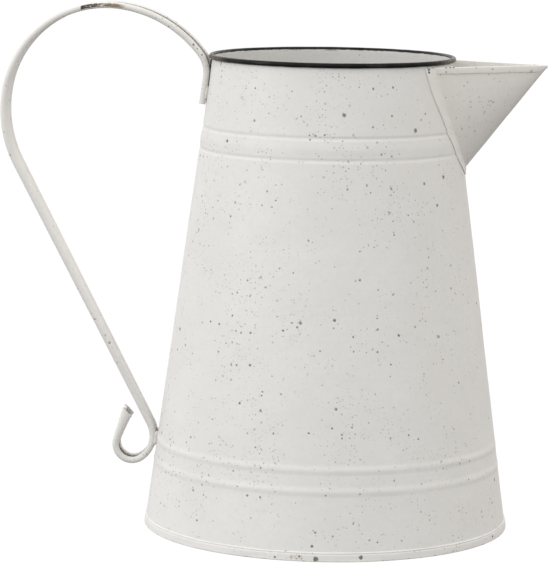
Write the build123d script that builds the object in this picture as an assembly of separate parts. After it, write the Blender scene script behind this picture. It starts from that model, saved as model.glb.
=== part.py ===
from build123d import *
import math
import os

# A sheet-metal watering jug: a conical body with a rolled rim, an open conical spout on the +X side
# and a strap handle on the -X side. Millimetres, +Z up, origin at the middle of the foot on the floor.

# ---- driving dimensions ----------------------------------------------------------------------------
SHEET = 0.6                  # thickness of all the sheet
WALL_FOOT_RADIUS = 99.9      # outside of the wall, continued down to the floor
WALL_LEAN = 0.1332           # how much the wall's radius shrinks for each millimetre of height
RIM_TOP = 259.8              # top of the rolled rim
RIM_WIRE_RADIUS = 0.65       # hollow of the roll, round a wire
WIRE_CLEARANCE = 0.03        # the wire is this much thinner than the hollow
CURL_END = -145.0            # where the rim's curl ends, in degrees; it starts at the wall, at 180

FOOT_HEIGHT = 5.2            # folded seam that holds the bottom, seen as a band round the foot
FOOT_CORNER = 0.45           # rounding of the foot's two bottom corners
LAP_ANGLE = 7.0              # width of the body's side lap, in degrees, behind the handle
LAP_LOW = 9.0
LAP_HIGH = 254.0

# swages in the wall: height of the middle, half width, how far it stands out, or in if negative
SWAGES = [
    (36.3, 3.0, 0.7),        # two ridges above the foot
    (47.5, 3.0, 0.7),
    (208.6, 0.8, -0.4),      # two creases below the rim, with a crowned band between them
    (214.4, 4.9, 0.35),
    (220.2, 0.8, -0.4),
]

SPOUT_TIP_X = 117.7
SPOUT_TOP = 256.3            # level of the spout's open top edges
SPOUT_SPREAD = 0.57          # half width gained for each millimetre back from the tip
SPOUT_DROP = 1.285           # depth gained for each millimetre back from the tip
SPOUT_LENGTH = 68.0          # how far the spout's cone is drawn back, past the wall
HEM_HEIGHT = 3.4             # folded hem along the spout's top edges
FLANGE_WIDTH = 4.0           # bent edge of the spout that lies on the wall
FLANGE_THICKNESS = 0.6
FLANGE_LOWEST = 190.0        # a level below all of the flange
TIP_GAP = 0.3                # the cone is blunted this near its point
TIP_SOLID = 2.4              # and is solid up to here
POUR_INSET = 7.0             # wall left round the pouring opening, behind the spout
POUR_TOP = 248.0

ROLL_RADIUS = 1.8            # rolled edges of the handle strap
ROLL_OPEN = 34.0             # width of the slot left in each roll, in degrees
ROLL_SLOT_AT = 40.0          # each slot faces the strap's middle, turned this much away from the hand
ROLL_SPACING_TOP = 17.4      # between the middles of the two rolls, on the grip
ROLL_SPACING_FOOT = 10.4     # and on the scroll, where the strap is narrower
WEB_SHIFT = 0.8              # the strap's web lies this far towards the hand side of the rolls
TAB_LOW = 232.3              # lower end of the tab that lies on the wall
TAB_STANDOFF = 1.36          # from the wall to the middle of the rolls, at the tab
TIP_ROLL_RADIUS = 2.7        # the rolls open out at the scroll's end

# the handle's side view from the tab upwards: (radius, turn in degrees), plus turns to the left
HANDLE_TAB = 15.0
HANDLE_BENDS = [
    (16.9, 45.4),
    (65.9, 46.0),
    (56.4, 84.1),
]
HANDLE_LAST_RADIUS = 64.5    # the bend that runs into the straight grip below
HANDLE_SLOPE = 27.4          # the long straight run, in degrees from plumb
HANDLE_RUN = 161.5
SCROLL_BENDS = [
    (15.2, -80.9),
    (9.1, -142.9),
]
SCROLL_END = 18.4

SOLDER_LEG = 2.5             # fillet of solder round the bottom, inside
BEAD_DEPTH = 0.4             # how far the flat beads of solder stand out
SEAM_BEAD_ANGLE = 0.8        # width of the bead along the side lap, in degrees
SPOUT_BEAD_WIDTH = 0.9
LUMP_OUTSET = 1.3            # solder lumps lie this far outside the middles of the handle's rolls
LUMP_SINK = 0.7              # and their middles stand this far off the wall
TOP_LUMP = (239.0, 1.7, 9)   # height of the middle, radius, length of its straight part
FOOT_LUMP = (45.0, 1.9, 4)


# ---- the wall's lines ------------------------------------------------------------------------------
def wall_radius(height):
    """Outside radius of the plain wall at a height."""
    return WALL_FOOT_RADIUS - WALL_LEAN * height


RIM_HEIGHT = RIM_TOP - RIM_WIRE_RADIUS - SHEET
RIM_RADIUS = wall_radius(RIM_HEIGHT) + RIM_WIRE_RADIUS


def wall_point(height, shift):
    return Vector(wall_radius(height) + shift, 0, height)


def wall_edges(shift, low, high):
    """The wall's side line from low to high, moved outwards by shift, with its swages as arcs."""
    edges = []
    at = low
    for middle, half, proud in SWAGES:
        if middle - half <= low or middle + half >= high:
            continue
        start = wall_point(middle - half, shift)
        stop = wall_point(middle + half, shift)
        crest = wall_point(middle, shift + proud)
        edges.append(Line(wall_point(at, shift), start))
        edges.append(ThreePointArc(start, crest, stop))
        at = middle + half
    edges.append(Line(wall_point(at, shift), wall_point(high, shift)))
    return edges


def wall_layer(inner, outer, low, high, angle=360.0):
    """A layer of the wall between two shifts, turned through an angle from the +X side."""
    edges = wall_edges(outer, low, high) + wall_edges(inner, low, high)
    edges.append(Line(wall_point(low, inner), wall_point(low, outer)))
    edges.append(Line(wall_point(high, inner), wall_point(high, outer)))
    return revolve(make_face(edges), Axis.Z, angle)


def wall_core():
    """Everything inside the wall's outer face, filled."""
    low = -1.0
    high = RIM_TOP + 1.0
    edges = wall_edges(0, low, high)
    edges.append(Line((0, 0, low), wall_point(low, 0)))
    edges.append(Line((0, 0, high), wall_point(high, 0)))
    edges.append(Line((0, 0, low), (0, 0, high)))
    return revolve(make_face(edges), Axis.Z)


def ring_sector(centre, inner, outer, start, stop):
    """A curled strip seen end on, in the XZ plane, between two angles in degrees."""
    def point(radius, angle):
        turn = math.radians(angle)
        return centre + Vector(radius * math.cos(turn), 0, radius * math.sin(turn))

    middle = (start + stop) / 2
    edges = [
        ThreePointArc(point(outer, start), point(outer, middle), point(outer, stop)),
        ThreePointArc(point(inner, start), point(inner, middle), point(inner, stop)),
        Line(point(inner, start), point(outer, start)),
        Line(point(inner, stop), point(outer, stop)),
    ]
    return make_face(edges)


def slab(low, high):
    """All that lies between two levels."""
    size = 600
    return Pos(0, 0, (low + high) / 2) * Box(size, size, high - low)


# ---- the spout's cone ------------------------------------------------------------------------------
def spout_cone(grow_side, grow_down, nearest):
    """The lower half of an elliptic cone with its point at the spout's tip, grown or shrunk."""
    rings = []
    for back in (nearest, SPOUT_LENGTH):
        place = Plane(
            origin=(SPOUT_TIP_X - back, 0, SPOUT_TOP),
            x_dir=(0, 1, 0),
            z_dir=(-1, 0, 0),
        )
        rings.append(place * Ellipse(SPOUT_SPREAD * back + grow_side, SPOUT_DROP * back + grow_down))
    return loft(rings, ruled=True) & slab(0, SPOUT_TOP)


SIDE_STEP = SHEET * math.hypot(1, SPOUT_SPREAD)
DOWN_STEP = SHEET * math.hypot(1, SPOUT_DROP)


# ---- the body --------------------------------------------------------------------------------------
def make_body_wall():
    wall = wall_layer(-SHEET, 0, SHEET, RIM_HEIGHT)
    curl_centre = Vector(RIM_RADIUS, 0, RIM_HEIGHT)
    curl = ring_sector(curl_centre, RIM_WIRE_RADIUS, RIM_WIRE_RADIUS + SHEET, CURL_END, 180)
    wall += revolve(curl, Axis.Z)
    lap = wall_layer(-2 * SHEET, -SHEET, LAP_LOW, LAP_HIGH, LAP_ANGLE)
    wall += Rot(0, 0, 180 - LAP_ANGLE / 2) * lap
    pour = spout_cone(-POUR_INSET, -POUR_INSET, 2.5 * POUR_INSET) & slab(0, POUR_TOP)
    return wall - pour


def make_rim_wire():
    return Pos(0, 0, RIM_HEIGHT) * Torus(RIM_RADIUS, RIM_WIRE_RADIUS - WIRE_CLEARANCE)


def make_base_pan():
    """The bottom: a raised disc whose edge goes down inside the wall, under it and up outside it."""
    disc_low = FOOT_HEIGHT
    disc_high = FOOT_HEIGHT + SHEET
    outline = [
        Vector(0, 0, disc_low),
        wall_point(disc_low, -2 * SHEET),
        wall_point(0, -2 * SHEET),
        wall_point(0, SHEET),
        wall_point(FOOT_HEIGHT, SHEET),
        wall_point(FOOT_HEIGHT, 0),
        wall_point(SHEET, 0),
        wall_point(SHEET, -SHEET),
        wall_point(disc_high, -SHEET),
        Vector(0, 0, disc_high),
    ]
    pan = revolve(make_face(Polyline(*outline, close=True)), Axis.Z)
    corners = pan.edges().filter_by_position(Axis.Z, -0.01, 0.01)
    return fillet(corners, FOOT_CORNER)


def make_base_solder():
    low = FOOT_HEIGHT + SHEET
    inside = wall_point(low, -SHEET)
    outline = [
        inside,
        wall_point(low + SOLDER_LEG, -SHEET),
        inside - Vector(SOLDER_LEG, 0, 0),
    ]
    return revolve(make_face(Polyline(*outline, close=True)), Axis.Z)


def make_seam_solder():
    """A bead along the inner edge of the side lap."""
    bead = wall_layer(-SHEET - BEAD_DEPTH, -SHEET, LAP_LOW, LAP_HIGH, SEAM_BEAD_ANGLE)
    return Rot(0, 0, 180 + LAP_ANGLE / 2) * bead


# ---- the spout -------------------------------------------------------------------------------------
def make_spout():
    outer = spout_cone(0, 0, TIP_GAP)
    hollow = spout_cone(-SIDE_STEP, -DOWN_STEP, TIP_SOLID)
    sheet = outer - hollow
    hem = spout_cone(SIDE_STEP, DOWN_STEP, TIP_GAP) - outer
    hem = hem & slab(SPOUT_TOP - HEM_HEIGHT, SPOUT_TOP)
    flange = wall_layer(0, FLANGE_THICKNESS, FLANGE_LOWEST, SPOUT_TOP)
    flange = (flange & spout_cone(FLANGE_WIDTH, FLANGE_WIDTH, TIP_GAP)) - hollow
    return (sheet + hem) - wall_core() + flange


def make_spout_solder():
    """A thin bead that runs round the edge of the spout's flange."""
    bead = wall_layer(0, BEAD_DEPTH, FLANGE_LOWEST - SPOUT_BEAD_WIDTH, SPOUT_TOP)
    reach = FLANGE_WIDTH + SPOUT_BEAD_WIDTH
    bead = bead & spout_cone(reach, reach, TIP_GAP)
    return bead - spout_cone(FLANGE_WIDTH, FLANGE_WIDTH, TIP_GAP)


# ---- the handle ------------------------------------------------------------------------------------
def strap_section(spot, heading, spacing, roll):
    """The strap cut across: two rolled edges and the web between them."""
    place = Plane(
        origin=(spot.X, 0, spot.Z),
        x_dir=(0, 1, 0),
        z_dir=(math.cos(heading), 0, math.sin(heading)),
    )
    tube = Circle(roll) - Circle(roll - SHEET)
    reach = 2 * roll
    half_slot = math.radians(ROLL_OPEN / 2)
    wedge = make_face(Polyline(
        (0, 0),
        (reach * math.cos(half_slot), reach * math.sin(half_slot)),
        (reach * math.cos(half_slot), -reach * math.sin(half_slot)),
        close=True,
    ))
    near = Pos(-spacing / 2, 0) * (tube - Rot(0, 0, -ROLL_SLOT_AT) * wedge)
    web_width = spacing - 2 * (roll - 0.75 * SHEET)
    web = Pos(0, WEB_SHIFT) * Rectangle(web_width, SHEET)
    section = near + mirror(near, Plane.YZ) + web
    return place * section.face()


class Strap:
    """Lays the handle down run by run, from a starting place and heading in the XZ plane."""

    def __init__(self, spot, heading):
        self.spot = spot
        self.heading = heading
        self.runs = []

    def ahead(self, length):
        return self.spot + Vector(math.cos(self.heading), 0, math.sin(self.heading)) * length

    def straight(self, length, spacing, spacing_after, roll=ROLL_RADIUS, roll_after=ROLL_RADIUS):
        start = strap_section(self.spot, self.heading, spacing, roll)
        self.spot = self.ahead(length)
        stop = strap_section(self.spot, self.heading, spacing_after, roll_after)
        self.runs.append(loft([start, stop], ruled=True))

    def bend(self, radius, degrees, spacing):
        side = math.copysign(1, degrees)
        left = Vector(-math.sin(self.heading), 0, math.cos(self.heading))
        centre = self.spot + left * (side * radius)
        section = strap_section(self.spot, self.heading, spacing, ROLL_RADIUS)
        self.runs.append(revolve(section, Axis(centre, (0, -side, 0)), abs(degrees)))
        self.heading += math.radians(degrees)
        left = Vector(-math.sin(self.heading), 0, math.cos(self.heading))
        self.spot = centre - left * (side * radius)


WALL_TILT = math.degrees(math.atan(WALL_LEAN))


def make_handle():
    start = Vector(-wall_radius(TAB_LOW) - TAB_STANDOFF, 0, TAB_LOW)
    strap = Strap(start, math.radians(90 - WALL_TILT))
    strap.straight(HANDLE_TAB, ROLL_SPACING_TOP, ROLL_SPACING_TOP)
    turned = 0
    for radius, degrees in HANDLE_BENDS:
        strap.bend(radius, degrees, ROLL_SPACING_TOP)
        turned += degrees
    last_turn = 180 + HANDLE_SLOPE + WALL_TILT - turned
    strap.bend(HANDLE_LAST_RADIUS, last_turn, ROLL_SPACING_TOP)
    strap.straight(HANDLE_RUN, ROLL_SPACING_TOP, ROLL_SPACING_FOOT)
    for radius, degrees in SCROLL_BENDS:
        strap.bend(radius, degrees, ROLL_SPACING_FOOT)
    strap.straight(SCROLL_END, ROLL_SPACING_FOOT, ROLL_SPACING_FOOT, ROLL_RADIUS, TIP_ROLL_RADIUS)
    handle = strap.runs[0]
    for run in strap.runs[1:]:
        handle += run
    return handle


def solder_lump(spot, radius, length):
    """A lump of solder drawn out along the wall: a round bar with round ends."""
    lump = Cylinder(radius, length)
    for end in (-1, 1):
        lump += Pos(0, 0, end * length / 2) * Sphere(radius)
    return Pos(*spot) * Rot(0, WALL_TILT, 0) * lump


def make_handle_solder(handle, spacing, lump_size):
    """The two lumps that hold the handle's rolls to the wall."""
    height, radius, length = lump_size
    lumps = []
    for side in (-1, 1):
        y = side * (spacing / 2 + LUMP_OUTSET)
        x = -math.sqrt(wall_radius(height) ** 2 - y ** 2) - LUMP_SINK
        lump = solder_lump((x, y, height), radius, length) - wall_core() - handle
        lumps.append(lump.solids().sort_by(SortBy.VOLUME)[-1])
    return lumps


# ---- build and write -------------------------------------------------------------------------------
handle = make_handle()
top_solder = make_handle_solder(handle, ROLL_SPACING_TOP, TOP_LUMP)
foot_solder = make_handle_solder(handle, ROLL_SPACING_FOOT, FOOT_LUMP)

nodes = {
    "body_wall": make_body_wall(),
    "rim_wire": make_rim_wire(),
    "base_pan": make_base_pan(),
    "base_solder": make_base_solder(),
    "seam_solder": make_seam_solder(),
    "spout": make_spout(),
    "spout_solder": make_spout_solder(),
    "handle": handle,
    "handle_top_solder_near": top_solder[0],
    "handle_top_solder_far": top_solder[1],
    "handle_foot_solder_near": foot_solder[0],
    "handle_foot_solder_far": foot_solder[1],
}

os.makedirs("parts", exist_ok=True)
for name, shape in nodes.items():
    export_step(shape, f"parts/{name}.step")
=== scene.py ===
import math

import bpy
import numpy as np
from mathutils import Matrix, Vector


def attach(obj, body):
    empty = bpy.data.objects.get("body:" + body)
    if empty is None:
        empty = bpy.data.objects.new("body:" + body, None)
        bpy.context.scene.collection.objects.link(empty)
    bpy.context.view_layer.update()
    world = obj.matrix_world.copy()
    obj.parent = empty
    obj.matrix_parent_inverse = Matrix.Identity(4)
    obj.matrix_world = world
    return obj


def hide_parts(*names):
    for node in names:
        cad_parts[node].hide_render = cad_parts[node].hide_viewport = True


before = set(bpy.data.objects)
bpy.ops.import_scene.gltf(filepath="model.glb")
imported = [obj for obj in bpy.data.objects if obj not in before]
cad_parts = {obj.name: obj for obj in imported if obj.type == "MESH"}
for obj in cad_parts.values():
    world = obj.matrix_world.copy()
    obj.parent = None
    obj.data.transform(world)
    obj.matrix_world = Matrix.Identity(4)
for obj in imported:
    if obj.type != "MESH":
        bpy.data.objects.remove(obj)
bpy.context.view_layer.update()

# Everything below is worked out in millimetres and turned into metres when a mesh is made.
MM = 0.001

# ---- sizes, mostly the CAD part's ------------------------------------------------------------------
SHEET = 0.6
WALL_FOOT_RADIUS = 99.9
WALL_LEAN = 0.1332
RIM_TOP = 259.8
CURL_INNER = 0.65
CURL_OUTER = CURL_INNER + SHEET
RIM_HEIGHT = RIM_TOP - CURL_OUTER
RIM_RADIUS = WALL_FOOT_RADIUS - WALL_LEAN * RIM_HEIGHT + CURL_INNER
BLACK_FROM, CURL_END = 168, -145     # the black paint's inner edge and the end of the curl, in degrees
FOOT_HEIGHT = 5.2
LAP_LOW, LAP_HIGH, LAP_HALF_ANGLE = 9.0, 254.0, math.radians(3.5)

SPOUT_TIP_X = 117.7
SPOUT_TOP = 256.3
SPOUT_SPREAD = 0.57
SPOUT_DROP = 1.285
HEM_HEIGHT = 3.4
FLANGE_WIDTH = 4.0
POUR_INSET = 7.0
POUR_TOP = 248.0
CUTTER_FROM, CUTTER_TO = 18.5, 68.0      # how far back from the tip the opening's cutter starts and ends

ROLL_RADIUS = 1.8
SPACING_TOP, SPACING_FOOT = 17.4, 10.4
TAB_LOW, TAB_STANDOFF, HANDLE_TAB = 232.3, 1.36, 15.0
HANDLE_BENDS = [(16.9, 45.4), (65.9, 46.0), (56.4, 84.1)]
HANDLE_LAST_RADIUS, HANDLE_SLOPE, HANDLE_RUN = 64.5, 27.4, 161.5
SCROLL_BENDS = [(15.2, -80.9), (9.1, -142.9)]
SCROLL_END = 18.4

FLARE_LENGTH, FLARE_DEPTH = 21.0, 2.9    # the scroll's tip widens
TIP_CUT, TIP_SLANT = 7.0, 3.4            # and is cut aslant
WEB_LEVEL = 0.8                          # the strap's web, towards the hand from the middle of the rolls
WEB_EASE = 1.9                           # how far across the web rises to meet a roll
STRAP_INSET = 0.02                       # the strap is drawn this much inside the CAD one
ROUND_STEPS = 320                        # points in a full turn of the wall, the rim and the bottom

# creases and ridges round the wall, drawn softer than the CAD part's: height, half width, how far
# each stands out (in if negative)
SWAGES = [
    (36.3, 3.0, 0.34),
    (47.5, 3.0, 0.34),
    (208.6, 1.7, -0.32),
    (214.4, 5.0, 0.28),
    (220.2, 1.7, -0.36),
]

# the larger chips in the paint are scattered at random, with a fixed seed
WALL_CHIPS, FOOT_CHIPS = 34, 7
CHIP_RADIUS, CHIP_GROWTH = 0.8, 0.7      # the smallest chip, and how much larger the largest is
CHIP_LOW, CHIP_HIGH = 12.0, 250.0        # they keep off the foot's band and the rim
FOOT_CHIP_LOW, FOOT_CHIP_HIGH = 0.8, 3.2
FRONT = -90.0                            # the middle of the near side, in degrees round the wall
FLANGE_CORNER = -37.0                    # just outside the upper end of the spout's near flange
FLANGE_CORNER_SPOTS = (255.5, 254.0)     # levels of the two black spots there
RUST_AND_SHADE_FROM, RUST_AND_SHADE_TO = -137.5, -111.5      # the streak along the top of the handle: rust, and painted shade of the roll's open seam
BLACK_LEVEL = 258.2                      # the rim's black paint reaches down to here inside the mouth
INSIDE_DEPTH = 0.44                      # surfaces further in than this count as the inside of the wall


# ---- helpers ---------------------------------------------------------------------------------------
def ripple(points, size, seed, waves=7):
    """Smooth irregular waves between about -1 and 1, over an array of points in mm."""
    rng = np.random.default_rng(seed)
    points = np.asarray(points, float)
    total = np.zeros(points.shape[:-1])
    for _ in range(waves):
        way = rng.normal(size=3)
        way *= 2 * math.pi / (size * rng.uniform(0.7, 1.6)) / np.linalg.norm(way)
        total += np.sin(points @ way + rng.uniform(0, 2 * math.pi))
    return total / math.sqrt(waves)


def plain_radius(height):
    return WALL_FOOT_RADIUS - WALL_LEAN * height


def wall_radius(height, angle):
    """Outside radius of the wall with its swages, hand-made waviness and small dents."""
    height, angle = np.broadcast_arrays(np.asarray(height, float), np.asarray(angle, float))
    radius = plain_radius(height)
    around = np.stack([60 * np.cos(angle), 60 * np.sin(angle), height * 0.6], -1)
    pressed = 0.86 + 0.16 * ripple(around, 40, 12) + 0.06 * ripple(around, 11, 14)
    for middle, half, proud in SWAGES:
        across = np.clip(np.abs(height - middle) / half, 0, 1)
        shape = 0.5 + 0.5 * np.cos(math.pi * across)
        radius = radius + proud * shape * np.clip(pressed, 0.45, 1.1)
    spot = np.stack([radius * np.cos(angle), radius * np.sin(angle), height], -1)
    calm = np.clip((height - 8) / 18, 0, 1) * np.clip((254 - height) / 10, 0, 1)
    waves = 0.13 * ripple(spot, 75, 3) + 0.05 * ripple(spot, 24, 5) + 0.018 * ripple(spot, 9, 8)
    return radius + calm * (waves - 0.1)


def grid_faces(rows, columns, loop_rows=False, loop_columns=False):
    faces = []
    for i in range(rows if loop_rows else rows - 1):
        below = (i + 1) % rows
        for j in range(columns if loop_columns else columns - 1):
            beside = (j + 1) % columns
            near, far = i * columns, below * columns
            faces.append((near + j, near + beside, far + beside, far + j))
    return faces


def make_piece(name, points, faces, material, sharp=35):
    """A smooth-shaded mesh from points in mm, riding on the one body."""
    mesh = bpy.data.meshes.new(name)
    mesh.from_pydata((np.asarray(points, float).reshape(-1, 3) * MM).tolist(), [], faces)
    mesh.validate()
    mesh.shade_smooth()
    mesh.set_sharp_from_angle(angle=math.radians(sharp))
    mesh.materials.append(material)
    piece = bpy.data.objects.new(name, mesh)
    bpy.context.scene.collection.objects.link(piece)
    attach(piece, "root")
    return piece


def face_outwards(piece):
    bpy.context.view_layer.objects.active = piece
    piece.select_set(True)
    bpy.ops.object.mode_set(mode="EDIT")
    bpy.ops.mesh.select_all(action="SELECT")
    bpy.ops.mesh.normals_make_consistent(inside=False)
    bpy.ops.object.mode_set(mode="OBJECT")
    piece.select_set(False)


def circle(radius, height, angles):
    """Points round the Z axis, at radii and heights that may change along the circle."""
    level = np.broadcast_to(height, angles.shape)
    return np.stack([radius * np.cos(angles), radius * np.sin(angles), level], -1)


def settle(piece):
    """Bakes the piece's modifiers into its mesh."""
    shaped = piece.evaluated_get(bpy.context.evaluated_depsgraph_get())
    mesh = bpy.data.meshes.new_from_object(shaped)
    piece.modifiers.clear()
    piece.data = mesh


def thicken(piece, thickness, offset):
    solid = piece.modifiers.new("sheet", "SOLIDIFY")
    solid.thickness = thickness * MM
    solid.offset = offset
    solid.use_even_offset = False
    settle(piece)


def turned(profile, steps):
    """Points of a profile of (radius, height) pairs turned round the Z axis."""
    angles = np.linspace(0, 2 * math.pi, steps, endpoint=False)
    profile = np.asarray(profile)
    across = profile[:, 0][:, None]
    return np.stack([
        across * np.cos(angles)[None, :],
        across * np.sin(angles)[None, :],
        np.repeat(profile[:, 1][:, None], steps, 1),
    ], -1)


# ---- materials -------------------------------------------------------------------------------------
class Nodes:
    """Short words for laying out a procedural material."""

    def __init__(self, name):
        self.material = bpy.data.materials.new(name)
        self.material.use_nodes = True
        self.tree = self.material.node_tree
        self.tree.nodes.clear()
        self.output = self.tree.nodes.new("ShaderNodeOutputMaterial")
        self.shader = self.tree.nodes.new("ShaderNodeBsdfPrincipled")
        self.link(self.shader.outputs[0], self.output.inputs[0])
        coordinates = self.tree.nodes.new("ShaderNodeTexCoord")
        self.place = self.scaled(coordinates.outputs["Object"], 1 / MM)

    def link(self, source, target):
        self.tree.links.new(source, target)

    def put(self, socket, value):
        if isinstance(value, bpy.types.NodeSocket):
            self.link(value, socket)
        else:
            socket.default_value = value

    def scaled(self, vector, factor):
        node = self.tree.nodes.new("ShaderNodeVectorMath")
        node.operation = "SCALE"
        self.link(vector, node.inputs[0])
        node.inputs["Scale"].default_value = factor
        return node.outputs[0]

    def shifted(self, vector, by):
        node = self.tree.nodes.new("ShaderNodeVectorMath")
        node.operation = "ADD"
        self.link(vector, node.inputs[0])
        self.put(node.inputs[1], by)
        return node.outputs[0]

    def axis(self, letter):
        node = self.tree.nodes.new("ShaderNodeSeparateXYZ")
        self.link(self.place, node.inputs[0])
        return node.outputs[letter]

    def from_axis(self):
        """Distance from the Z axis, in mm."""
        flat = self.tree.nodes.new("ShaderNodeVectorMath")
        flat.operation = "MULTIPLY"
        self.link(self.place, flat.inputs[0])
        flat.inputs[1].default_value = (1, 1, 0)
        across = self.tree.nodes.new("ShaderNodeVectorMath")
        across.operation = "LENGTH"
        self.link(flat.outputs[0], across.inputs[0])
        return across.outputs["Value"]

    def noise(self, size, detail=3.0, roughness=0.5, vector=None, colour=False):
        """Noise whose features are about this many millimetres across."""
        node = self.tree.nodes.new("ShaderNodeTexNoise")
        self.link(self.place if vector is None else vector, node.inputs["Vector"])
        node.inputs["Scale"].default_value = 1 / size
        node.inputs["Detail"].default_value = detail
        node.inputs["Roughness"].default_value = roughness
        return node.outputs["Color" if colour else "Fac"]

    def sum(self, a, b, how="ADD", clamp=False):
        node = self.tree.nodes.new("ShaderNodeMath")
        node.operation = how
        node.use_clamp = clamp
        self.put(node.inputs[0], a)
        self.put(node.inputs[1], b)
        return node.outputs[0]

    def ramp(self, value, low, high, start=0.0, stop=1.0):
        """start below low, stop above high, and smooth between them."""
        node = self.tree.nodes.new("ShaderNodeMapRange")
        node.interpolation_type = "SMOOTHSTEP"
        self.put(node.inputs["Value"], value)
        self.put(node.inputs["From Min"], low)
        self.put(node.inputs["From Max"], high)
        self.put(node.inputs["To Min"], start)
        self.put(node.inputs["To Max"], stop)
        return node.outputs[0]

    def mix(self, factor, first, second):
        node = self.tree.nodes.new("ShaderNodeMix")
        node.data_type = "RGBA"
        self.put(node.inputs["Factor"], factor)
        self.put(node.inputs[6], first)
        self.put(node.inputs[7], second)
        return node.outputs[2]

    def specks(self, cell, largest, share, seed, ragged=0.8):
        """Scattered irregular spots: one at most in each cell, and only in a share of the cells."""
        bend = self.scaled(self.noise(cell * 0.3, 3, colour=True), cell * ragged * 0.5)
        spot = self.shifted(self.shifted(self.place, bend), (seed * 17.3, seed * 5.1, seed * 29.7))
        node = self.tree.nodes.new("ShaderNodeTexVoronoi")
        self.link(spot, node.inputs["Vector"])
        node.inputs["Scale"].default_value = 1 / cell
        chance = self.tree.nodes.new("ShaderNodeSeparateColor")
        self.link(node.outputs["Color"], chance.inputs[0])
        size = self.sum(self.sum(chance.outputs[0], 2.2, "POWER"), largest * 0.72 / cell, "MULTIPLY")
        size = self.sum(size, largest * 0.28 / cell)
        chosen = self.sum(chance.outputs[1], share, "LESS_THAN")
        edge = self.sum(size, 0.55, "MULTIPLY")
        mask = self.ramp(node.outputs["Distance"], edge, size, 1.0, 0.0)
        return self.sum(mask, chosen, "MULTIPLY"), chance.outputs[2]

    def blots(self, spots, sharp=0.5):
        """Ragged round marks at given places: (x, y, z, radius) in mm."""
        bend = self.scaled(self.shifted(self.noise(1.3, 3, colour=True), (-0.5, -0.5, -0.5)), 1.5)
        near = self.shifted(self.place, bend)
        total = None
        for x, y, z, radius in spots:
            node = self.tree.nodes.new("ShaderNodeVectorMath")
            node.operation = "DISTANCE"
            self.link(near, node.inputs[0])
            node.inputs[1].default_value = (x, y, z)
            mark = self.ramp(node.outputs["Value"], radius * sharp, radius, 1.0, 0.0)
            total = mark if total is None else self.sum(total, mark, "MAXIMUM")
        return total

    def bump(self, height, distance, strength=1.0, under=None):
        node = self.tree.nodes.new("ShaderNodeBump")
        node.inputs["Strength"].default_value = strength
        node.inputs["Distance"].default_value = distance * MM
        self.put(node.inputs["Height"], height)
        if under is not None:
            self.link(under, node.inputs["Normal"])
        return node.outputs[0]

    def finish(self, colour, roughness, normal, metallic=0.0, level=0.5):
        self.put(self.shader.inputs["Base Color"], colour)
        self.put(self.shader.inputs["Roughness"], roughness)
        self.put(self.shader.inputs["Metallic"], metallic)
        self.put(self.shader.inputs["Specular IOR Level"], level)
        self.link(normal, self.shader.inputs["Normal"])
        return self.material


def on_wall(angle, height, radius, out=0.0):
    turn = math.radians(angle)
    across = plain_radius(height) + out
    return across * math.cos(turn), across * math.sin(turn), height, radius


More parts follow.
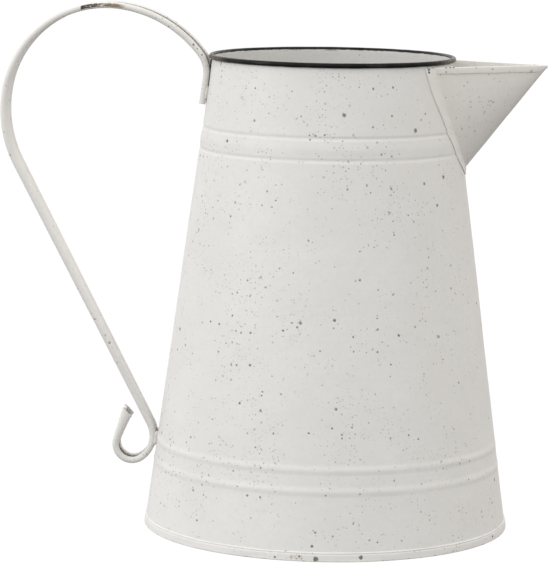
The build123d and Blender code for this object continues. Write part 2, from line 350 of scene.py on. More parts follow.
def enamel(
    name, tint=(0.715, 0.710, 0.694), crowd=1.0, foot=False, warm=0.0, extra=None, calm_inside=False
):
    """White enamel paint: cloudy, speckled with dark pits, satin and faintly orange-peeled.

    crowd is how thick the specks are, foot adds grime low down, warm adds brownish patches, extra adds
    marks of its own, and calm_inside thins the specks out on the wall's inner face.
    """
    n = Nodes(name)
    cloud = n.noise(42, 4, 0.55)
    fine_cloud = n.noise(7, 3, 0.6)
    light = (*[c * 1.012 for c in tint], 1)
    dark = (*[c * f for c, f in zip(tint, (0.975, 0.972, 0.966))], 1)
    colour = n.mix(n.ramp(cloud, 0.3, 0.7), light, dark)
    colour = n.mix(n.ramp(fine_cloud, 0.50, 0.75, 0.0, 0.4), colour, (*[c * 0.93 for c in tint], 1))
    if warm:
        colour = n.mix(n.ramp(n.noise(14, 4, 0.6), 0.4, 0.75, 0.0, warm), colour, (0.56, 0.50, 0.43, 1))

    mottle = n.noise(2.4, 3, 0.65)
    colour = n.mix(n.ramp(mottle, 0.35, 0.7, 0.0, 0.5), colour, (*[c * 0.945 for c in tint], 1))

    # specks, crowded where the slow noise is high
    patches = n.ramp(n.noise(19, 3, 0.6), 0.42, 0.62, 0.12, 1.15)
    broad = n.ramp(n.noise(60, 1, 0.5), 0.35, 0.65, 0.6, 1.2)
    crowding = n.sum(patches, broad, "MULTIPLY")
    left = n.ramp(n.axis("X"), -45, 60, 1.1, 0.6)
    crowding = n.sum(crowding, left, "MULTIPLY")
    if calm_inside:
        reach = n.sum(n.from_axis(), n.sum(n.axis("Z"), WALL_LEAN, "MULTIPLY"))
        edge = WALL_FOOT_RADIUS - INSIDE_DEPTH
        crowding = n.sum(crowding, n.ramp(reach, edge - 0.04, edge + 0.04, 0.15, 1.0), "MULTIPLY")
    pits = None
    marks = colour
    # cell, largest speck, share of the cells, seed, colour, how strongly it shows, whether it is a pit
    layers = (
        (1.6, 0.55, 1.05, 1, (0.28, 0.265, 0.24, 1), 0.85, True),
        (2.5, 0.90, 0.70, 2, (0.15, 0.137, 0.12, 1), 0.95, True),
        (5.2, 1.40, 0.32, 3, (0.11, 0.10, 0.087, 1), 0.9, True),
        (2.0, 0.85, 1.0, 4, (0.54, 0.53, 0.505, 1), 0.6, False),
    )
    for cell, largest, share, seed, shade, depth, is_pit in layers:
        chosen = n.sum(crowding, share * crowd, "MULTIPLY")
        mask, chance = n.specks(cell, largest, chosen, seed)
        mask = n.sum(mask, n.ramp(chance, 0.0, 1.0, 0.35, depth), "MULTIPLY")
        marks = n.mix(mask, marks, shade)
        if is_pit:
            pits = mask if pits is None else n.sum(pits, mask, "MAXIMUM")

    if foot:
        height = n.axis("Z")
        low_down = n.ramp(height, 0.0, 7.5, 1.0, 0.0)
        grime = n.sum(low_down, n.ramp(n.noise(16, 4, 0.65), 0.6, 0.76), "MULTIPLY")
        marks = n.mix(n.sum(grime, 0.75, "MULTIPLY"), marks, (0.33, 0.225, 0.14, 1))
        low_edge = n.ramp(height, 0.3, 1.1, 1.0, 0.0)
        low_edge = n.sum(low_edge, n.ramp(n.noise(5, 4, 0.7), 0.52, 0.7), "MULTIPLY")
        marks = n.mix(n.sum(low_edge, 0.6, "MULTIPLY"), marks, (0.20, 0.16, 0.12, 1))
    if extra:
        marks, pits = extra(n, marks, pits)

    peel = n.noise(1.7, 2, 0.5)
    normal = n.bump(peel, 0.05, 0.6)
    normal = n.bump(n.noise(4.5, 3, 0.5), 0.16, 0.7, normal)
    normal = n.bump(n.noise(16, 3, 0.5), 0.25, 0.6, normal)
    normal = n.bump(n.sum(1.0, pits, "SUBTRACT"), 0.10, 0.8, normal)
    rough = n.ramp(n.noise(19, 4, 0.6), 0.25, 0.75, 0.40, 0.55)
    rough = n.sum(rough, n.sum(pits, 0.3, "MULTIPLY"))
    return n.finish(marks, rough, normal, level=0.42)


def scatter(count, low, high, seed):
    """Random places round the wall, as angle, height and radius. Most of them are small."""
    draw = np.random.default_rng(seed)
    places = []
    for _ in range(count):
        angle = float(draw.uniform(-180, 180))
        height = float(draw.uniform(low, high))
        places.append((angle, height, CHIP_RADIUS + CHIP_GROWTH * float(draw.random()) ** 2))
    return places


def wall_chips(n, colour, pits):
    """Larger chips down to dark metal, two black spots by the flange and the black inside the mouth."""
    chips = n.blots([on_wall(*chip) for chip in scatter(WALL_CHIPS, CHIP_LOW, CHIP_HIGH, 61)])
    core = n.ramp(n.noise(0.8, 3, 0.6), 0.35, 0.65)
    shade = n.mix(core, (0.11, 0.10, 0.088, 1), (0.30, 0.28, 0.255, 1))
    spots = zip(FLANGE_CORNER_SPOTS, (1.0, 0.8))
    black = n.blots([on_wall(FLANGE_CORNER, height, radius) for height, radius in spots])
    colour = n.mix(n.sum(chips, 0.92, "MULTIPLY"), colour, shade)
    # the rim's black paint laps a little way down inside the mouth
    level = n.sum(n.axis("Z"), n.ramp(n.noise(4, 3, 0.6), 0.3, 0.7, -0.15, 0.15))
    black = n.sum(black, n.ramp(level, BLACK_LEVEL, BLACK_LEVEL + 0.15), "MAXIMUM")
    return n.mix(black, colour, (0.012, 0.011, 0.010, 1)), n.sum(pits, chips, "MAXIMUM")


def foot_marks(n, colour, pits):
    """A chip and a rubbed brown smudge on the front of the foot, and a few smaller chips."""
    smudge = n.blots([on_wall(FRONT - left, 2.0, 1.9, 0.6) for left in (4.5, 6.0, 7.5)], 0.1)
    smudge = n.sum(smudge, n.ramp(n.noise(1.1, 3, 0.6), 0.42, 0.62), "MULTIPLY")
    colour = n.mix(n.sum(smudge, 0.8, "MULTIPLY"), colour, (0.30, 0.20, 0.13, 1))
    chips = [(FRONT, 1.6, 1.7)] + scatter(FOOT_CHIPS, FOOT_CHIP_LOW, FOOT_CHIP_HIGH, 62)
    chips = n.blots([on_wall(angle, height, radius, 0.6) for angle, height, radius in chips])
    colour = n.mix(n.sum(chips, 0.92, "MULTIPLY"), colour, (0.14, 0.12, 0.10, 1))
    return colour, n.sum(pits, chips, "MAXIMUM")


def spout_marks(n, colour, pits):
    """Black spots where the rim's paint has run onto the top of the spout, and a crowd of grey pits."""
    along_hem = [(x, -SPOUT_SPREAD * (SPOUT_TIP_X - x), SPOUT_TOP, 1.1) for x in (62.0, 64.0, 66.0)]
    corner = [on_wall(FLANGE_CORNER, height, 0.9, 0.6) for height in FLANGE_CORNER_SPOTS]
    run = n.blots(along_hem + corner)
    colour = n.mix(run, colour, (0.02, 0.018, 0.016, 1))
    middle = n.blots([(74, -22, 226, 17.0), (80, -20, 236, 13.0)], 0.2)
    grey, _ = n.specks(2.4, 0.95, n.sum(middle, 0.9, "MULTIPLY"), 15)
    colour = n.mix(n.sum(grey, 0.5, "MULTIPLY"), colour, (0.33, 0.315, 0.29, 1))
    return colour, n.sum(pits, grey, "MAXIMUM")


def handle_rust_and_seam_shade(n, colour, pits):
    """A streak on the side of the handle's near roll, at the top: brown rust where the paint has gone,
    and near-black painted shade of the roll's open seam towards the outer end.
    """
    ragged = n.sum(n.axis("Y"), n.ramp(n.noise(1.5, 3, 0.6), 0.3, 0.7, -0.12, 0.12))
    start = n.ramp(n.axis("X"), RUST_AND_SHADE_FROM, RUST_AND_SHADE_FROM + 1.0)
    along = n.sum(start, n.ramp(n.axis("X"), RUST_AND_SHADE_TO - 4.5, RUST_AND_SHADE_TO, 1.0, 0.0), "MULTIPLY")
    near = n.ramp(ragged, -10.22, -10.02, 1.0, 0.0)
    high = n.ramp(n.axis("Z"), 275.0, 276.0)
    patch = n.sum(n.sum(along, near, "MULTIPLY"), high, "MULTIPLY")
    wear_and_painted_light = n.ramp(n.noise(2.2, 4, 0.7), 0.30, 0.46)
    patch = n.sum(patch, wear_and_painted_light, "MULTIPLY")
    seam_shade_to_rust = n.ramp(n.axis("X"), -135, -118)
    seam_shade_to_rust = n.sum(seam_shade_to_rust, n.ramp(n.noise(1.6, 3, 0.7), 0.35, 0.65, -0.35, 0.35), clamp=True)
    # the near-black is painted shade of the roll's open seam, the brown is rust
    rust_and_seam_shade = n.mix(seam_shade_to_rust, (0.035, 0.026, 0.020, 1), (0.30, 0.235, 0.175, 1))
    chips, _ = n.specks(2.6, 0.9, 0.3, 9)
    chips = n.sum(chips, n.ramp(n.axis("Z"), 262, 276), "MULTIPLY")
    colour = n.mix(n.sum(chips, 0.85, "MULTIPLY"), colour, (0.12, 0.085, 0.06, 1))
    return n.mix(patch, colour, rust_and_seam_shade), n.sum(pits, patch, "MAXIMUM")


def black_enamel(name):
    """Glossy black enamel with a painted brownish reflection towards the left and right ends, and a few
    chips down to the white.
    """
    n = Nodes(name)
    cloud = n.ramp(n.noise(6, 4, 0.6), 0.35, 0.7)
    base = n.mix(cloud, (0.004, 0.004, 0.0042, 1), (0.011, 0.010, 0.009, 1))
    # painted reflection: the black turns a lighter brown towards the rim's left and right ends, where it
    # is seen edge-on from the front
    ends = n.sum(n.axis("X"), 0.0, "ABSOLUTE")
    ends = n.ramp(ends, 55, 66)
    wear_and_painted_light = n.sum(ends, n.ramp(n.noise(3.0, 4, 0.7), 0.38, 0.62), "MULTIPLY")
    colour = n.mix(n.sum(wear_and_painted_light, 0.7, "MULTIPLY"), base, (0.19, 0.155, 0.125, 1))
    chips, _ = n.specks(3.6, 0.55, 0.10, 6)
    colour = n.mix(chips, colour, (0.62, 0.60, 0.56, 1))
    scratches, _ = n.specks(2.2, 0.35, 0.16, 7)
    colour = n.mix(n.sum(scratches, 0.5, "MULTIPLY"), colour, (0.22, 0.19, 0.16, 1))
    normal = n.bump(n.noise(2.2, 3, 0.55), 0.05, 0.6)
    normal = n.bump(n.sum(1.0, chips, "SUBTRACT"), 0.08, 0.7, normal)
    rough = n.ramp(n.noise(8, 4, 0.6), 0.3, 0.7, 0.14, 0.30)
    rough = n.sum(rough, n.sum(wear_and_painted_light, 0.3, "MULTIPLY"))
    return n.finish(colour, rough, normal, level=0.14)


def grey_solder(name):
    """Bare solder: dull grey metal with brownish stains."""
    n = Nodes(name)
    cloud = n.ramp(n.noise(2.5, 4, 0.6), 0.35, 0.65)
    colour = n.mix(cloud, (0.34, 0.33, 0.31, 1), (0.50, 0.49, 0.47, 1))
    colour = n.mix(n.ramp(n.noise(5, 4, 0.7), 0.56, 0.7, 0.0, 0.6), colour, (0.20, 0.15, 0.11, 1))
    normal = n.bump(n.noise(1.2, 3, 0.6), 0.08, 0.7)
    rough = n.ramp(n.noise(4, 3, 0.6), 0.3, 0.7, 0.35, 0.6)
    return n.finish(colour, rough, normal, metallic=0.55)


body_enamel = enamel("white_enamel_body", extra=wall_chips, calm_inside=True)
foot_enamel = enamel("white_enamel_foot", foot=True, crowd=0.9, extra=foot_marks)
spout_enamel = enamel(
    "white_enamel_spout", tint=(0.75, 0.735, 0.708), crowd=0.9, warm=0.08, extra=spout_marks
)
handle_enamel = enamel(
    "white_enamel_handle", tint=(0.74, 0.732, 0.71), crowd=0.35, warm=0.12, extra=handle_rust_and_seam_shade
)
solder_enamel = enamel("white_enamel_solder", tint=(0.69, 0.67, 0.645), crowd=1.3, warm=0.25)
rim_black = black_enamel("black_rim_enamel")
bare_solder = grey_solder("bare_solder")


# ---- the body wall ---------------------------------------------------------------------------------
def make_wall():
    """The wall's outer face, the white start of the curl and the inner face, turned as one sheet."""
    heights = np.unique(np.concatenate([
        np.linspace(SHEET, RIM_HEIGHT, 118),
        *[np.linspace(middle - half * 1.05, middle + half * 1.05, 13) for middle, half, _ in SWAGES],
    ]))
    angles = np.linspace(0, 2 * math.pi, ROUND_STEPS, endpoint=False)
    outer = wall_radius(heights[:, None], angles[None, :])
    inner = outer - SHEET
    rows = list(zip(outer, heights))
    # over the top of the sheet, where the white paint ends under the black
    for turn in np.linspace(180, BLACK_FROM, 4)[1:]:
        t = math.radians(turn)
        rows.append((RIM_RADIUS + CURL_INNER * math.cos(t), RIM_HEIGHT + CURL_INNER * math.sin(t)))
    for turn in np.linspace(BLACK_FROM, 180, 4)[:-1]:
        t = math.radians(turn)
        rows.append((RIM_RADIUS + CURL_OUTER * math.cos(t), RIM_HEIGHT + CURL_OUTER * math.sin(t)))
    rows += zip(inner[::-1], heights[::-1])
    points = [circle(radius, height, angles) for radius, height in rows]
    piece = make_piece("wall", points, grid_faces(len(rows), ROUND_STEPS, True, True), body_enamel)
    face_outwards(piece)
    cut = make_pour_cutter()
    boolean = piece.modifiers.new("pour", "BOOLEAN")
    boolean.operation = "DIFFERENCE"
    boolean.solver = "MANIFOLD"
    boolean.object = cut
    settle(piece)
    bpy.data.objects.remove(cut)
    piece.data.materials.clear()
    piece.data.materials.append(body_enamel)
    piece.data.shade_smooth()
    piece.data.set_sharp_from_angle(angle=math.radians(38))
    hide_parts("body_wall")


def make_pour_cutter():
    """The spout's own cone, shrunk, which opens the wall behind the spout."""
    steps = 96
    rings = []
    for back in (CUTTER_FROM, CUTTER_TO):
        across = SPOUT_SPREAD * back - POUR_INSET
        down = SPOUT_DROP * back - POUR_INSET
        ring = []
        for k in range(steps):
            t = 2 * math.pi * k / steps
            height = min(SPOUT_TOP + down * math.sin(t), POUR_TOP)
            ring.append((SPOUT_TIP_X - back, across * math.cos(t), height))
        rings.append(ring)
    points = [spot for ring in rings for spot in ring]
    faces = grid_faces(2, steps, False, True)
    faces.append(tuple(range(steps)))
    faces.append(tuple(range(2 * steps - 1, steps - 1, -1)))
    mesh = bpy.data.meshes.new("cutter")
    mesh.from_pydata((np.asarray(points) * MM).tolist(), [], faces)
    mesh.validate()
    cutter = bpy.data.objects.new("cutter", mesh)
    bpy.context.scene.collection.objects.link(cutter)
    face_outwards(cutter)
    return cutter


def make_lap():
    """The body's side lap inside, behind the handle."""
    heights = np.linspace(LAP_LOW, LAP_HIGH, 110)
    angles = np.linspace(math.pi - LAP_HALF_ANGLE, math.pi + LAP_HALF_ANGLE, 14)
    angle, height = np.meshgrid(angles, heights)
    radius = wall_radius(height, angle) - SHEET * 1.5
    points = circle(radius, height, angle)
    piece = make_piece("side_lap", points, grid_faces(len(heights), len(angles)), body_enamel)
    thicken(piece, SHEET, 0)
    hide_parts("body_wall")


def make_rim():
    """The black rolled rim: an open curl, a little uneven along its length and fuller underneath."""
    angles = np.linspace(0, 2 * math.pi, ROUND_STEPS, endpoint=False)
    section = []
    for turn in np.linspace(BLACK_FROM, CURL_END, 36):
        section.append((CURL_OUTER, turn, 1.0))
    for turn in np.linspace(CURL_END, BLACK_FROM, 22):
        section.append((CURL_INNER, turn, 0.0))
    rows = []
    for radius, turn, loose in section:
        t = math.radians(turn)
        across = RIM_RADIUS + radius * math.cos(t)
        high = RIM_HEIGHT + radius * math.sin(t)
        spot = circle(across, high, angles)
        swell = loose * (0.05 * ripple(spot, 21, 31) + 0.03 * ripple(spot, 7, 33) - 0.06)
        swell += loose * 0.3 * max(0.0, -math.sin(t))
        if turn > 60:
            swell = swell * (0.5 - 0.5 * math.cos(math.radians(BLACK_FROM - turn)))
        across = RIM_RADIUS + (radius + swell) * math.cos(t)
        high = RIM_HEIGHT + (radius + swell) * math.sin(t)
        rows.append(circle(across, high, angles))
    piece = make_piece("rim_curl", rows, grid_faces(len(rows), ROUND_STEPS, True, True), rim_black)
    face_outwards(piece)
    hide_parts("body_wall")


# ---- the bottom ------------------------------------------------------------------------------------
def make_bottom():
    """The bottom disc and the seam round the foot, with the folded edge's fine double line."""
    outer = plain_radius(0) + SHEET
    corner = 0.5
    profile = [(0.02, FOOT_HEIGHT + SHEET), (30, FOOT_HEIGHT + SHEET), (60, FOOT_HEIGHT + SHEET)]
    profile += [(plain_radius(5.8) - SHEET - inset, FOOT_HEIGHT + SHEET) for inset in (12, 4, 0.05)]
    profile += [(plain_radius(z) - SHEET, z) for z in (5.2, 3.0, SHEET)]
    profile += [(plain_radius(z) + 0.01, z) for z in (SHEET, 3.0, FOOT_HEIGHT - 0.1)]
    band_start = len(profile)
    for height in np.linspace(FOOT_HEIGHT, corner, 22):
        lean = outer - WALL_LEAN * height
        top_round = 0.28 * max(0.0, (height - FOOT_HEIGHT + 0.45) / 0.45) ** 2
        groove = 0.2 * math.exp(-((height - 4.15) / 0.28) ** 2)
        belly = 0.08 * math.sin(math.pi * (height - corner) / (FOOT_HEIGHT - corner))
        profile.append((lean - top_round - groove - 0.1 + belly, height))
    band_end = len(profile)
    for turn in np.linspace(0, -90, 6)[1:]:
        t = math.radians(turn)
        profile.append((outer - 0.16 - corner + corner * math.cos(t), corner + corner * math.sin(t)))
    low_inner = plain_radius(0) - 2 * SHEET
    for turn in np.linspace(-90, -180, 6):
        t = math.radians(turn)
        profile.append((low_inner + corner + corner * math.cos(t), corner + corner * math.sin(t)))
    profile += [(plain_radius(z) - 2 * SHEET, z) for z in (2.0, 4.0, 4.9)]
    profile += [(plain_radius(5.2) - 2 * SHEET - inset, FOOT_HEIGHT) for inset in (0.3, 4, 14)]
    profile += [(60, FOOT_HEIGHT), (30, FOOT_HEIGHT), (0.02, FOOT_HEIGHT)]
    points = turned(profile, ROUND_STEPS)
    for row in range(band_start, band_end):
        spot = points[row]
        height = profile[row][1]
        away = spot[:, :2] / np.linalg.norm(spot[:, :2], axis=1)[:, None]
        loose = 0.10 * ripple(spot, 26, 41) + 0.05 * ripple(spot, 8, 43)
        spot[:, :2] += away * (np.minimum(loose, 0.1) - 0.02)[:, None] * min(1.0, height / 1.5)
        lift = 0.16 * ripple(spot * [1, 1, 0], 40, 45) + 0.07 * ripple(spot * [1, 1, 0], 12, 47)
        spot[:, 2] += (lift - 0.2) * max(0.0, (height - 3.2) / (FOOT_HEIGHT - 3.2))
    faces = grid_faces(len(profile), ROUND_STEPS, False, True)
    piece = make_piece("bottom", points, faces, foot_enamel)
    # close the two small holes at the middle of the disc
    mesh = piece.data
    count = len(mesh.vertices)
    faces = [tuple(p.vertices) for p in mesh.polygons]
    faces.append(tuple(range(ROUND_STEPS)))
    faces.append(tuple(range(count - ROUND_STEPS, count))[::-1])
    spots = [tuple(v.co) for v in mesh.vertices]
    mesh.clear_geometry()
    mesh.from_pydata(spots, [], faces)
    mesh.shade_smooth()
    mesh.set_sharp_from_angle(angle=math.radians(40))
    face_outwards(piece)
    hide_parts("base_pan")


# ---- the spout -------------------------------------------------------------------------------------
def reach_wall(across, down, start_across, start_down, lean):
    """How far back from the tip a line of the (grown) cone meets the wall.

    across and down are how fast the line goes sideways and down for each millimetre back; the
    start values are where the grown cone's line begins.
    """
    low, high = 2.0, 75.0
    for _ in range(50):
        back = (low + high) / 2
        x = SPOUT_TIP_X - back
        y = across * back + start_across
        z = SPOUT_TOP - down * back - start_down
        if math.hypot(x, y) > wall_radius(z, math.atan2(y, x)) + lean:
            low = back
        else:
            high = back
    return (low + high) / 2


def make_spout():
    """One folded sheet: half cone and a flange bent onto the wall; the hems along the top edges are made
    apart.
    """
    half = SHEET / 2
    side_half = half * math.hypot(1, SPOUT_SPREAD)
    down_half = half * math.hypot(1, SPOUT_DROP)
    along = np.concatenate([np.linspace(0, 0.93, 40), [0.955, 0.975, 0.99, 1.0]])
    # the flange from the crease outwards: how far out, and how far off the wall
    flange_steps = [
        (0.35, 0.25),
        (0.7, 0.42),
        (1.1, 0.46),
        (1.6, 0.3),
        (2.1, 0.1),
        (2.7, 0.04),
        (3.4, 0.03),
        (3.9, -0.12),
    ]
    columns = []
    for theta in np.radians(np.linspace(-90, 90, 75)):
        s, c = math.sin(theta), math.cos(theta)
        end = reach_wall(SPOUT_SPREAD * s, SPOUT_DROP * c, -side_half * s, -down_half * c, half)
        column = []
        for part in along:
            back = 0.9 + (end - 0.9) * part
            wide = max(SPOUT_SPREAD * back - side_half, 0.04)
            deep = max(SPOUT_DROP * back - down_half, 0.04)
            column.append([SPOUT_TIP_X - back, wide * s, SPOUT_TOP - deep * c])
        uneven = 0.35 * math.sin(theta * 7 + 1) + 0.2 * math.sin(theta * 17)
        for grow, lift in flange_steps:
            grow = grow + uneven * grow / FLANGE_WIDTH * 0.6
            flat = reach_wall(SPOUT_SPREAD * s, SPOUT_DROP * c, grow * s, grow * c, half + 0.02 + lift)
            y = (SPOUT_SPREAD * flat + grow) * s
            z = SPOUT_TOP - (SPOUT_DROP * flat + grow) * c
            column.append([SPOUT_TIP_X - flat, y, z])
        # the fold at the crease is drawn round, not sharp
        column = np.array(column)
        fold = len(along) - 1
        column[fold] = 0.5 * column[fold] + 0.25 * (column[fold - 1] + column[fold + 1])
        columns.append(column)
    points = np.array(columns)
    swell = 0.10 * ripple(points, 26, 51) + 0.04 * ripple(points, 9, 53)
    # no swelling at the top edges, nor towards the crease and on the flange
    calm = np.clip((SPOUT_TOP - points[..., 2]) / 8, 0, 1)
    calm = calm * np.clip((len(along) - 6 - np.arange(points.shape[1])) / 8, 0, 1)
    way = points - np.array([70, 0, SPOUT_TOP])
    way[..., 0] = 0
    way /= np.maximum(np.linalg.norm(way, axis=-1), 1)[..., None]
    points = points + way * (np.minimum(swell, 0.12) * calm)[..., None]
    points[..., 2] = np.minimum(points[..., 2], SPOUT_TOP - 0.35)
    sheet = make_piece("spout_sheet", points, grid_faces(*points.shape[:2]), spout_enamel, 50)
    face_outwards(sheet)
    thicken(sheet, SHEET, 0)
    sheet.data.set_sharp_from_angle(angle=math.radians(50))
    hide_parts("spout", "spout_solder")


def make_hems():
    """The spout's top edges folded over outwards: a rounded top and a strip hanging outside."""
    for name, side in (("near", -1), ("far", 1)):
        backs = np.concatenate([np.linspace(0.8, 5, 8), [6.0], np.linspace(7, 60, 60)])
        end = reach_wall(SPOUT_SPREAD, 0, 0, 1.0, 0.15)
        backs = backs[backs < end - 0.3]
        backs = np.append(backs, end)
        rows = []
        for back in backs:
            edge = SPOUT_SPREAD * back
            ring = []
            drop = min(HEM_HEIGHT, 1.0 + back * 0.55)
            wave = 0.12 * math.sin(back * 0.31 + side) + 0.07 * math.sin(back * 0.9)
            # outside strip from its lower edge up, over the fold, and down inside
            for part in np.linspace(0, 1, 8):
                height = -drop - wave * 0.8 + (drop - 0.45) * part
                ring.append((edge + 0.62 + 0.06 * math.sin(math.pi * part), height))
            for turn in np.linspace(0, 180, 9):
                t = math.radians(turn)
                ring.append((edge + 0.02 + 0.60 * math.cos(t), -0.62 + 0.60 * math.sin(t)))
            ring.append((edge - 0.56, -1.2))
            ring.append((edge - 0.30, -1.8))
            ring.append((edge, -drop * 0.9))
            ring.append((edge + 0.1, -drop - wave * 0.8 - 0.02))
            # near the bottom of the strip the cone has curved in, so the strip follows it
            rolled = []
            for y, z in ring:
                deep = min(1.0, -z / max(SPOUT_DROP * back, 0.5))
                y = y - edge * (1 - math.sqrt(max(0.0, 1 - deep * deep)))
                rolled.append((SPOUT_TIP_X - back, side * max(y, 0.02), SPOUT_TOP + z))
            rows.append(rolled)
        points = np.array(rows)
        count = points.shape[1]
        faces = grid_faces(len(backs), count, False, True)
        faces.append(tuple(range(count)))
        faces.append(tuple(range((len(backs) - 1) * count, len(backs) * count))[::-1])
        hem = make_piece("spout_hem_" + name, points, faces, spout_enamel, 50)
        face_outwards(hem)
        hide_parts("spout")


# ---- the handle ------------------------------------------------------------------------------------
def handle_line():
    """Stations along the handle: place in the XZ plane, heading, roll spacing and roll radius."""
    tilt = math.atan(WALL_LEAN)
    spot = np.array([-plain_radius(TAB_LOW) - TAB_STANDOFF, TAB_LOW])
    heading = math.pi / 2 - tilt
    stations = [(spot, heading, SPACING_TOP, ROLL_RADIUS)]

    def straight(spot, heading, length, spacing, roll):
        for part in np.linspace(0, 1, max(3, int(length / 1.6)))[1:]:
            ahead = spot + length * part * np.array([math.cos(heading), math.sin(heading)])
            stations.append((
                ahead,
                heading,
                spacing[0] + (spacing[1] - spacing[0]) * part,
                roll[0] + (roll[1] - roll[0]) * part,
            ))
        return stations[-1][0]

    def bend(spot, heading, radius, turn, spacing):
        side = math.copysign(1, turn)
        centre = spot + side * radius * np.array([-math.sin(heading), math.cos(heading)])
        for part in np.linspace(0, 1, max(6, int(radius * abs(turn) / 1.3)))[1:]:
            now = heading + turn * part
            ahead = centre - side * radius * np.array([-math.sin(now), math.cos(now)])
            stations.append((ahead, now, spacing, ROLL_RADIUS))
        return stations[-1][0], heading + turn

    plain = (ROLL_RADIUS, ROLL_RADIUS)
    spot = straight(spot, heading, HANDLE_TAB, (SPACING_TOP, SPACING_TOP), plain)
    total = 0.0
    for radius, degrees in HANDLE_BENDS:
        spot, heading = bend(spot, heading, radius, math.radians(degrees), SPACING_TOP)
        total += math.radians(degrees)
    last = math.pi + math.radians(HANDLE_SLOPE) + tilt - total
    spot, heading = bend(spot, heading, HANDLE_LAST_RADIUS, last, SPACING_TOP)
    spot = straight(spot, heading, HANDLE_RUN, (SPACING_TOP, SPACING_FOOT), plain)
    for radius, degrees in SCROLL_BENDS:
        spot, heading = bend(spot, heading, radius, math.radians(degrees), SPACING_FOOT)
    straight(spot, heading, SCROLL_END, (SPACING_FOOT, SPACING_FOOT), plain)
    return stations


def strap_profile(spacing, roll):
    """The strap cut across, as the middle line of its sheet: (across, towards the hand).

    The sheet comes from the near roll's free edge, round it, over the web and round the far roll.
    """
    middle = roll - SHEET / 2 - STRAP_INSET
    near = []
    start = math.radians(90)
    for turn in np.linspace(0, 236, 27):
        t = start + math.radians(turn)
        near.append((-spacing / 2 + middle * math.cos(t), middle * math.sin(t)))
    ease = []
    for part in np.linspace(0, 1, 7)[1:]:
        rise = 0.5 + 0.5 * math.cos(math.pi * part)
        ease.append((-spacing / 2 + WEB_EASE * part, WEB_LEVEL + (middle - WEB_LEVEL) * rise))
    flat = spacing / 2 - WEB_EASE
    centre = [(-flat + flat * part, WEB_LEVEL) for part in (0.35, 0.7)]
    left = near[::-1] + ease + centre
    right = [(-across, up) for across, up in left[::-1]]
    return left + [(0.0, WEB_LEVEL)] + right


def make_handle():
    """The strap with its rolled edges, widening to the scroll's slanted tip."""
    stations = handle_line()
    rows = []
    travelled = 0.0
    length = sum(np.linalg.norm(b[0] - a[0]) for a, b in zip(stations, stations[1:]))
    before = stations[0][0]
    for spot, heading, spacing, roll in stations:
        travelled += np.linalg.norm(spot - before)
        before = spot
        left = np.array([-math.sin(heading), math.cos(heading)])
        ahead = np.array([math.cos(heading), math.sin(heading)])
        to_end = length - travelled
        flare = max(0.0, 1 - to_end / FLARE_LENGTH) ** 1.3
        cut = max(0.0, 1 - to_end / TIP_CUT) ** 1.5
        row = []
        for across, up in strap_profile(spacing, roll):
            depth = (roll - SHEET / 2 - up) / (2 * roll - SHEET)
            up -= FLARE_DEPTH * flare * depth
            place = spot + left * up - ahead * TIP_SLANT * cut * depth
            row.append((place[0], across, place[1]))
        rows.append(row)
    points = np.array(rows)
    wave = 0.05 * ripple(points * [1, 0.3, 1], 23, 61) + 0.03 * ripple(points, 8, 63)
    points[..., 1] += wave * np.sign(-points[..., 1]) * 0.8
    limit = SPACING_TOP / 2 + ROLL_RADIUS - SHEET / 2
    points[..., 1] = np.clip(points[..., 1], -limit, limit)
    piece = make_piece("handle_strap", points, grid_faces(*points.shape[:2]), handle_enamel, 50)
    face_outwards(piece)
    thicken(piece, SHEET, 0)
    piece.data.set_sharp_from_angle(angle=math.radians(50))
    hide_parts("handle")


def make_lump(name, heights, across, girth, material, node):
    """A rounded run that lies up and down the wall behind the handle, used for the solder at the handle's
    ends and for a black run of painted shade in the gap under the handle's top.
    """
    around = 20
    rows = []
    for part in np.linspace(0, 1, 26):
        height = heights[0] + (heights[1] - heights[0]) * part
        swell = math.sqrt(max(0.0, 1 - (2 * part - 1) ** 4)) * (0.88 + 0.12 * math.sin(part * 9 + across))
        centre = -math.sqrt(plain_radius(height) ** 2 - across ** 2) - girth * 0.35
        ring = []
        for turn in np.linspace(0, 2 * math.pi, around, endpoint=False):
            reach = max(girth * swell, 0.02)
            ring.append((centre + reach * math.cos(turn), across + reach * math.sin(turn), height))
        rows.append(ring)
    points = np.array(rows)
    faces = grid_faces(len(rows), around, False, True)
    faces.append(tuple(range(around)))
    faces.append(tuple(range((len(rows) - 1) * around, len(rows) * around))[::-1])
    lump = make_piece(name, points, faces, material, 60)
    face_outwards(lump)
    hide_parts(node)


make_wall()
make_lap()
make_rim()
make_bottom()
make_spout()
make_hems()
make_handle()
for end, side in (("near", -1), ("far", 1)):
    for node, heights, spacing, girth in (
        ("handle_top_solder_" + end, (233.5, 242.5), SPACING_TOP, 1.15),
        ("handle_foot_solder_" + end, (42.0, 50.0), SPACING_FOOT, 1.5),
    ):
        across = side * (spacing / 2 + girth * 0.55)
        make_lump(node + "_lump", heights, across, girth, solder_enamel, node)
# a black run on the wall in the gap between the handle's top and the wall: painted shade of that gap
make_lump("handle_gap_painted_shade", (244.5, 257.0), -8.2, 0.85, rim_black, "body_wall")

# ---- CAD pieces that are shown as they are, in their finishes ---------------------------------------
for node, material in (
    ("rim_wire", rim_black),
    ("base_solder", bare_solder),
    ("seam_solder", solder_enamel),
):
    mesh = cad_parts[node].data
    mesh.materials.clear()
    mesh.materials.append(material)
    mesh.shade_smooth()
    mesh.set_sharp_from_angle(angle=math.radians(40))


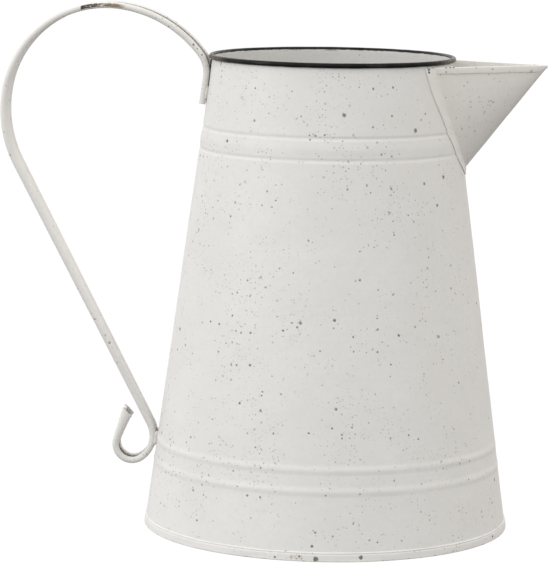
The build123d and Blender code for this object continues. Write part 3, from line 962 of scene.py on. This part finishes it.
# ---- stage, light and camera -----------------------------------------------------------------------
def glowing(name, colour, strength):
    material = bpy.data.materials.new(name)
    material.use_nodes = True
    tree = material.node_tree
    tree.nodes.clear()
    output = tree.nodes.new("ShaderNodeOutputMaterial")
    glow = tree.nodes.new("ShaderNodeEmission")
    glow.inputs["Color"].default_value = (*colour, 1)
    glow.inputs["Strength"].default_value = strength
    tree.links.new(glow.outputs[0], output.inputs[0])
    return material


def make_sheet(name, corners, material):
    """A flat sheet that only the camera sees, so that it lights nothing."""
    mesh = bpy.data.meshes.new(name)
    mesh.from_pydata([Vector(c) * MM for c in corners], [], [(0, 1, 2, 3)])
    mesh.materials.append(material)
    sheet = bpy.data.objects.new(name, mesh)
    bpy.context.scene.collection.objects.link(sheet)
    sheet.visible_diffuse = False
    sheet.visible_glossy = False


paper = glowing("white_paper", (1, 1, 1), 1.02)
# a sheet far behind, so that it fills the picture but stands behind every other view's camera
PAPER_HALF, PAPER_BACK, PAPER_LOW, PAPER_HIGH = 2600, 6000, -2800, 2400
make_sheet("back_paper", [
    (-PAPER_HALF, PAPER_BACK, PAPER_LOW),
    (PAPER_HALF, PAPER_BACK, PAPER_LOW),
    (PAPER_HALF, PAPER_BACK, PAPER_HIGH),
    (-PAPER_HALF, PAPER_BACK, PAPER_HIGH),
], paper)

world = bpy.data.worlds.new("studio")
world.use_nodes = True
bpy.context.scene.world = world
tree = world.node_tree
tree.nodes.clear()
world_output = tree.nodes.new("ShaderNodeOutputWorld")
background = tree.nodes.new("ShaderNodeBackground")
direction = tree.nodes.new("ShaderNodeTexCoord")
# the room is brightest above and to the left, and warmer to the right
slope = tree.nodes.new("ShaderNodeVectorMath")
slope.operation = "DOT_PRODUCT"
slope.inputs[1].default_value = (-0.175, 0.14, 0.72)
level = tree.nodes.new("ShaderNodeMath")
level.operation = "ADD"
level.inputs[1].default_value = 0.805
split = tree.nodes.new("ShaderNodeSeparateXYZ")
warmth = tree.nodes.new("ShaderNodeMapRange")
warmth.inputs["From Min"].default_value = -1.0
warmth.inputs["From Max"].default_value = 1.0
tint = tree.nodes.new("ShaderNodeMix")
tint.data_type = "RGBA"
tint.inputs[6].default_value = (1.0, 1.0, 1.0, 1)
tint.inputs[7].default_value = (1.0, 0.965, 0.925, 1)
tree.links.new(direction.outputs["Generated"], slope.inputs[0])
tree.links.new(slope.outputs["Value"], level.inputs[0])
tree.links.new(level.outputs[0], background.inputs["Strength"])
tree.links.new(direction.outputs["Generated"], split.inputs[0])
tree.links.new(split.outputs["X"], warmth.inputs["Value"])
tree.links.new(warmth.outputs[0], tint.inputs["Factor"])
tree.links.new(tint.outputs[2], background.inputs["Color"])
tree.links.new(background.outputs[0], world_output.inputs[0])


def soft_light(name, place, aim, width, height, power, colour=(1, 1, 1)):
    light = bpy.data.lights.new(name, "AREA")
    light.shape = "RECTANGLE"
    light.size = width * MM
    light.size_y = height * MM
    light.energy = power
    light.color = colour
    lamp = bpy.data.objects.new(name, light)
    lamp.location = Vector(place) * MM
    lamp.rotation_mode = "QUATERNION"
    lamp.rotation_quaternion = (Vector(aim) - Vector(place)).to_track_quat("-Z", "Y")
    bpy.context.scene.collection.objects.link(lamp)


soft_light("left_window", (-1300, -900, 900), (0, 0, 150), 900, 1100, 2.6)
soft_light("front_strip", (150, -1500, 1100), (0, 0, 200), 1200, 350, 1.7)
soft_light("right_strip", (1080, -1080, 420), (20, 0, 150), 130, 1500, 2.8)
soft_light("left_strip", (-1400, -560, 500), (-20, 0, 150), 160, 1500, 2.6)

PITCH, YAW, ROLL, TURN = 0.1394, -0.0172, 0.0144, math.radians(2.5)
LENS, SENSOR = 201.9133, 36.0            # a long lens, in mm on a 36 mm sensor
DISTANCE, EYE_HEIGHT = 1722.3, 376.1
heading = YAW - TURN
ahead = math.cos(PITCH)
forward = Vector((math.sin(heading) * ahead, math.cos(heading) * ahead, -math.sin(PITCH)))
right = Vector((math.cos(heading), -math.sin(heading), 0))
up = right.cross(forward)
level_right = right * math.cos(ROLL) + up * math.sin(ROLL)
level_up = up * math.cos(ROLL) - right * math.sin(ROLL)

camera_data = bpy.data.cameras.new("camera")
camera_data.sensor_fit = "AUTO"
camera_data.sensor_width = SENSOR
camera_data.lens = LENS
camera_data.clip_start = 0.05
camera_data.clip_end = 20.0
camera = bpy.data.objects.new("camera", camera_data)
bpy.context.scene.collection.objects.link(camera)
place = Vector((DISTANCE * math.sin(TURN), -DISTANCE * math.cos(TURN), EYE_HEIGHT)) * MM
turn = Matrix((level_right, level_up, -forward)).transposed()
camera.matrix_world = Matrix.Translation(place) @ turn.to_4x4()
bpy.context.scene.camera = camera
bpy.context.scene.view_settings.view_transform = "Standard"
